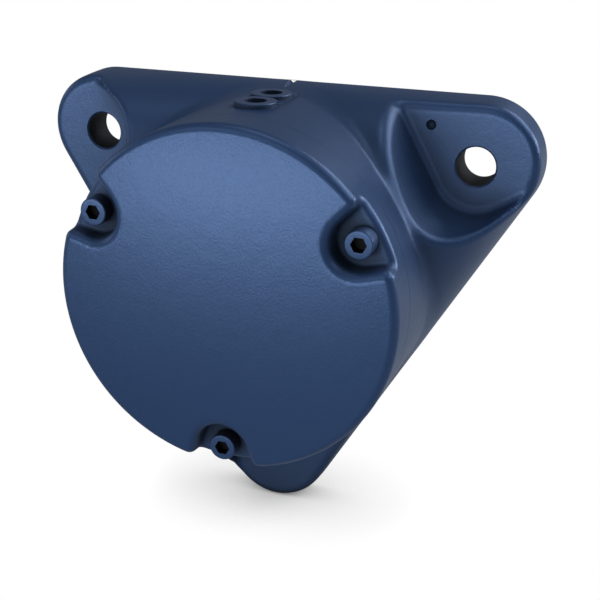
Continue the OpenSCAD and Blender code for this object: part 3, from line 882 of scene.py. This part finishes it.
class HOUSING_OT_screws(bpy.types.Operator):
    """Build the three socket cap screws, each seated in its recess"""

    bl_idname = "housing.screws"
    bl_label = "Cover screws"

    def execute(self, context):
        size = context.scene.housing.screws
        cover = context.scene.housing.cover
        paint = painted_casting(context.scene.housing.paint, "painted_screws")
        # The sockets get a near-black material that stands as painted shade.
        black = socket_painted_shade()
        thread = bearing_steel("plated_thread", (0.5, 0.5, 0.48), 0.3)
        for centre, side in zip(on_each_arm(cover.screw_circle_r), ("right", "left", "bottom")):
            screw = self.screw(f"socket_screw_{side}", size)
            x, y, h = face_centres(screw.data)
            socket = np.hypot(x, y) < size.socket_flats / math.sqrt(3)
            socket &= (h > MM) & (h < size.head_h - TOUCH)
            set_materials(screw, paint, (black, socket), (thread, h < 0))
            screw.data.transform(Matrix.Translation((*centre, cover.recess_h)))
            seat_in_part(screw, "housing", "painted_screw", f"cover_screw_{side}")
        return {"FINISHED"}

    def screw(self, name, size):
        """One screw with its head above the origin and its threaded shank below."""
        core = size.shank_r - size.thread_depth
        top = size.head_h
        edge = size.head_edge
        hex_r = size.socket_flats / math.sqrt(3)
        foot = 0.25 * MM
        lead = 0.3 * MM
        piece = turned(name, [
            (0, -size.shank_len), (core - lead, -size.shank_len), (core, lead - size.shank_len),
            (core, 0), (size.head_r - foot, 0), (size.head_r, foot),
            *arc(size.head_r - edge, top - edge, edge, 0, 90), (0, top)], steps=72)
        corners = [(hex_r * math.cos(math.pi / 3 * i), hex_r * math.sin(math.pi / 3 * i)) for i in range(6)]
        combine(piece, prism("socket", corners, top - size.socket_depth, top + MM))
        combine(piece, self.thread(size, core), "UNION")
        return piece

    def thread(self, size, core):
        """One closed helical ridge round the shank."""
        steps = 32
        turns = int(size.shank_len / size.pitch) - 2
        start = 0.8 * size.pitch - size.shank_len
        sunk = 0.1 * MM
        inner = core - sunk
        wide = 0.42 * size.pitch
        crest = 0.06 * size.pitch
        section = [(inner, -wide), (size.shank_r, -crest), (size.shank_r, crest), (inner, wide)]
        points = []
        for i in range(turns * steps + 1):
            turn = 2 * math.pi * i / steps
            height = start + size.pitch * i / steps
            for r, h in section:
                points.append((r * math.cos(turn), r * math.sin(turn), height + h))
        faces = []
        for i in range(turns * steps):
            for k in range(4):
                j = (k + 1) % 4
                faces.append([4 * i + k, 4 * i + j, 4 * i + 4 + j, 4 * i + 4 + k])
        last = 4 * turns * steps
        faces += [[3, 2, 1, 0], [last, last + 1, last + 2, last + 3]]
        return mesh_piece("thread", points, faces)


class HOUSING_OT_seals(bpy.types.Operator):
    """Build the felt seal and the cover seal"""

    bl_idname = "housing.seals"
    bl_label = "Seals"

    def execute(self, context):
        low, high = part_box("felt_seal")
        gap = 0.05 * MM
        standing_in = 0.8 * MM
        outer = high.x - gap
        inner = context.scene.housing.casting.shaft_way_r - standing_in
        back = -high.y + gap
        front = -low.y - gap
        r = 0.6 * MM
        felt = ring("felt_ring", [
            *arc(outer - r, back + r, r, -90, 0), *arc(outer - r, front - r, r, 0, 90),
            *arc(inner + r, front - r, r, 90, 180), *arc(inner + r, back + r, r, 180, 270)], steps=160)
        points = mesh_points(felt.data)
        turn = np.arctan2(points[:, 1], points[:, 0])
        fluff_depth = 0.04 * MM
        fluff = fluff_depth * (
            np.sin(37 * turn + 900 * points[:, 2]) + np.sin(61 * turn - 1400 * points[:, 2]))
        radius = np.hypot(points[:, 0], points[:, 1])
        points[:, :2] *= ((radius - np.abs(fluff)) / radius)[:, None]
        felt.data.vertices.foreach_set("co", points.ravel())
        set_materials(felt, wool_felt())
        seat_in_part(felt, "housing", "felt", "felt_seal", sharp=60)

        low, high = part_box("cover_seal")
        r = (high.y - low.y) / 2
        middle = high.x - r
        height = -(low.y + high.y) / 2
        flash = 0.04 * MM
        section = [(middle + (r - flash) * math.cos(t), height + (r - flash) * math.sin(t))
                   for t in np.linspace(0, 2 * math.pi, 24, endpoint=False)]
        section[0] = (middle + r, height)
        section[12] = (middle - r, height)
        seal = ring("cover_seal_ring", section, steps=192)
        set_materials(seal, rubber())
        seat_in_part(seal, "housing", "seal_rubber", "cover_seal")
        return {"FINISHED"}


class HOUSING_OT_bearing(bpy.types.Operator):
    """Give the bearing, sleeve, washer and nut their finishes"""

    bl_idname = "housing.bearing"
    bl_label = "Bearing finishes"

    def execute(self, context):
        ground = bearing_steel("ground_steel", (0.6, 0.6, 0.61), 0.22)
        polished = bearing_steel("polished_steel", (0.75, 0.75, 0.77), 0.07, 0.4 * MM)
        turned_steel = bearing_steel("turned_steel", (0.46, 0.46, 0.47), 0.32, 0.2 * MM)
        brass = bearing_steel("machined_brass", (0.7, 0.5, 0.22), 0.3, 0.2 * MM)
        finish = {
            "bearing_outer_ring": ground, "bearing_inner_ring": ground, "bearing_cage": brass,
            "adapter_sleeve": turned_steel, "lock_washer": turned_steel, "lock_nut": turned_steel}
        for name, node in frame["nodes"].items():
            chosen = polished if name.startswith("ball_") else finish.get(name)
            if chosen:
                set_materials(node, chosen)
        return {"FINISHED"}


LAMP_AIM = Vector((0, -0.03, -0.02))
LAMP_CENTRE_H = 0.02
# Each lamp's name, its degrees round from the front to the right and up, its distance and size in metres,
# and how bright its face is, so that a larger lamp of the same brightness gives more light.
LAMPS = (
    ("front_low_lamp", -15, -1.15, 1.0, (1.0, 0.2), 9.5),
    ("front_high_lamp", -20, 42, 1.3, (1.3, 0.5), 1.2),
    ("right_rear_lamp", 120, 15, 1.3, (0.65, 0.4), 9.0),
    ("right_rear_high_lamp", 135, 42, 1.3, (0.9, 0.5), 4.5),
    ("right_high_lamp", 90, 42, 1.3, (0.9, 0.5), 2.5),
    ("left_lamp", -90, 15, 1.3, (0.65, 0.4), 1.5),
    ("top_lamp", 0, 89, 1.3, (0.6, 0.6), 1.8))


class HOUSING_OT_stage(bpy.types.Operator):
    """Set up the camera, the floor and the lights"""

    bl_idname = "housing.stage"
    bl_label = "Studio"

    def execute(self, context):
        look = context.scene.housing.studio
        self.add_camera(look)
        self.add_floor(look)
        self.add_world(look)
        for lamp in LAMPS:
            self.add_lamp(*lamp)
        context.scene.view_settings.view_transform = "Standard"
        return {"FINISHED"}

    def add_camera(self, look):
        """Camera at the photograph's viewing angle."""
        back = Vector((
            math.sin(look.yaw) * math.cos(look.pitch), -math.cos(look.yaw) * math.cos(look.pitch),
            math.sin(look.pitch)))
        level = Vector((math.cos(look.yaw), math.sin(look.yaw), 0))
        rise = back.cross(level)
        right = level * math.cos(look.roll) + rise * math.sin(look.roll)
        up = rise * math.cos(look.roll) - level * math.sin(look.roll)
        camera = placed("camera", bpy.data.cameras.new("camera"))
        camera.matrix_world = Matrix.Translation(look.place) @ Matrix((right, up, back)).transposed().to_4x4()
        camera.data.lens = look.lens
        camera.data.shift_x, camera.data.shift_y = look.shift
        camera.data.clip_start = 0.01
        bpy.context.scene.camera = camera

    def add_floor(self, look):
        """Floor under the lowest point of the part, seen as white but for the shadow at its foot, partly
        painted and partly cast.
        """
        half = look.floor_half
        points = [(-half, -half, 0), (half, -half, 0), (half, half, 0), (-half, half, 0)]
        floor = mesh_piece("floor", points, [(0, 1, 2, 3)])
        floor.location.z = CAD_BOX[0][2]
        shader = new_shader("pale_floor")
        # Painted shadow: near the part the white fades by how closed in the floor lies, showing its lit plain
        # colour with the cast shadow.
        white_with_painted_shadow = self.seen_white(shader, look) * shader.openness(look.shadow_reach)
        plain = shader.add("ShaderNodeBsdfDiffuse", {}, Color=(*look.floor_colour, 1), Roughness=0.5)["BSDF"]
        white = shader.add("ShaderNodeEmission", {}, Color=(1, 1, 1, 1), Strength=1.0)["Emission"]
        mixed = shader.add("ShaderNodeMixShader", {}, white_with_painted_shadow, plain, white)["Shader"]
        shader.add("ShaderNodeOutputMaterial", {}, Surface=mixed)
        floor.data.materials.append(shader.owner)

    def add_world(self, look):
        """Weak light from all round, which the camera sees as white."""
        world = bpy.data.worlds.new("studio")
        bpy.context.scene.world = world
        shader = Shader(world)
        strength = self.seen_white(shader, look) * (1 - look.ambient) + look.ambient
        sky = shader.add("ShaderNodeBackground", {}, Color=(1, 1, 1, 1), Strength=strength)["Background"]
        shader.add("ShaderNodeOutputWorld", {}, Surface=sky)

    def seen_white(self, shader, look):
        """Share of the plain white that the camera, a view through glass and a reflection show."""
        path = shader.add("ShaderNodeLightPath", {})
        return path["Is Camera Ray"] + path["Is Transmission Ray"] + path["Is Glossy Ray"] * look.mirrored

    def add_lamp(self, name, round_angle, rise_angle, away, spread, brightness):
        """Soft rectangular lamp that points at the part, placed by angles and distance from it."""
        lamp = placed(name, bpy.data.lights.new(name, "AREA"))
        turn, rise = math.radians(round_angle), math.radians(rise_angle)
        lamp.location = (
            away * math.sin(turn) * math.cos(rise), -away * math.cos(turn) * math.cos(rise),
            away * math.sin(rise) + LAMP_CENTRE_H)
        lamp.rotation_euler = (LAMP_AIM - lamp.location).to_track_quat("-Z", "Y").to_euler()
        lamp.data.shape = "RECTANGLE"
        lamp.data.size, lamp.data.size_y = spread
        lamp.data.energy = math.pi * spread[0] * spread[1] * brightness
        lamp.visible_camera = False


class HousingSettings(bpy.types.PropertyGroup):
    """Everything that can be set for the part and its studio"""

    casting: PointerProperty(name="Casting", description="Sizes of the housing casting", type=HousingSizes)
    cover: PointerProperty(name="Cover", description="Sizes of the end cover", type=CoverSizes)
    screws: PointerProperty(name="Screws", description="Sizes of the cover screws", type=ScrewSizes)
    paint: PointerProperty(name="Paint", description="Look of the paint", type=PaintLook)
    studio: PointerProperty(name="Studio", description="Camera, floor and light", type=StudioLook)


class HOUSING_PT_panel(bpy.types.Panel):
    """Lists the steps that build the part"""

    bl_label = "Flanged bearing housing"
    bl_idname = "HOUSING_PT_panel"
    bl_space_type = "VIEW_3D"
    bl_region_type = "UI"
    bl_category = "Housing"

    def draw(self, context):
        settings = context.scene.housing
        for step in STEPS:
            self.layout.operator(step.bl_idname)
        for group in (settings.casting, settings.cover, settings.screws, settings.paint, settings.studio):
            box = self.layout.box()
            for name in group.bl_rna.properties.keys():
                if name not in ("rna_type", "name"):
                    box.prop(group, name)


STEPS = (
    HOUSING_OT_stage, HOUSING_OT_casting, HOUSING_OT_end_cover, HOUSING_OT_screws, HOUSING_OT_seals,
    HOUSING_OT_bearing)
CLASSES = (
    HousingSizes, CoverSizes, ScrewSizes, PaintLook, StudioLook, HousingSettings, *STEPS, HOUSING_PT_panel)


def register():
    for each in CLASSES:
        bpy.utils.register_class(each)
    bpy.types.Scene.housing = PointerProperty(
        name="Housing", description="Settings of the flanged bearing housing", type=HousingSettings)


def unregister():
    del bpy.types.Scene.housing
    for each in reversed(CLASSES):
        bpy.utils.unregister_class(each)


def main():
    register()
    bpy.ops.housing.stage()
    bpy.ops.housing.casting()
    bpy.ops.housing.end_cover()
    bpy.ops.housing.screws()
    bpy.ops.housing.seals()
    bpy.ops.housing.bearing()


if __name__ == "__main__":
    main()
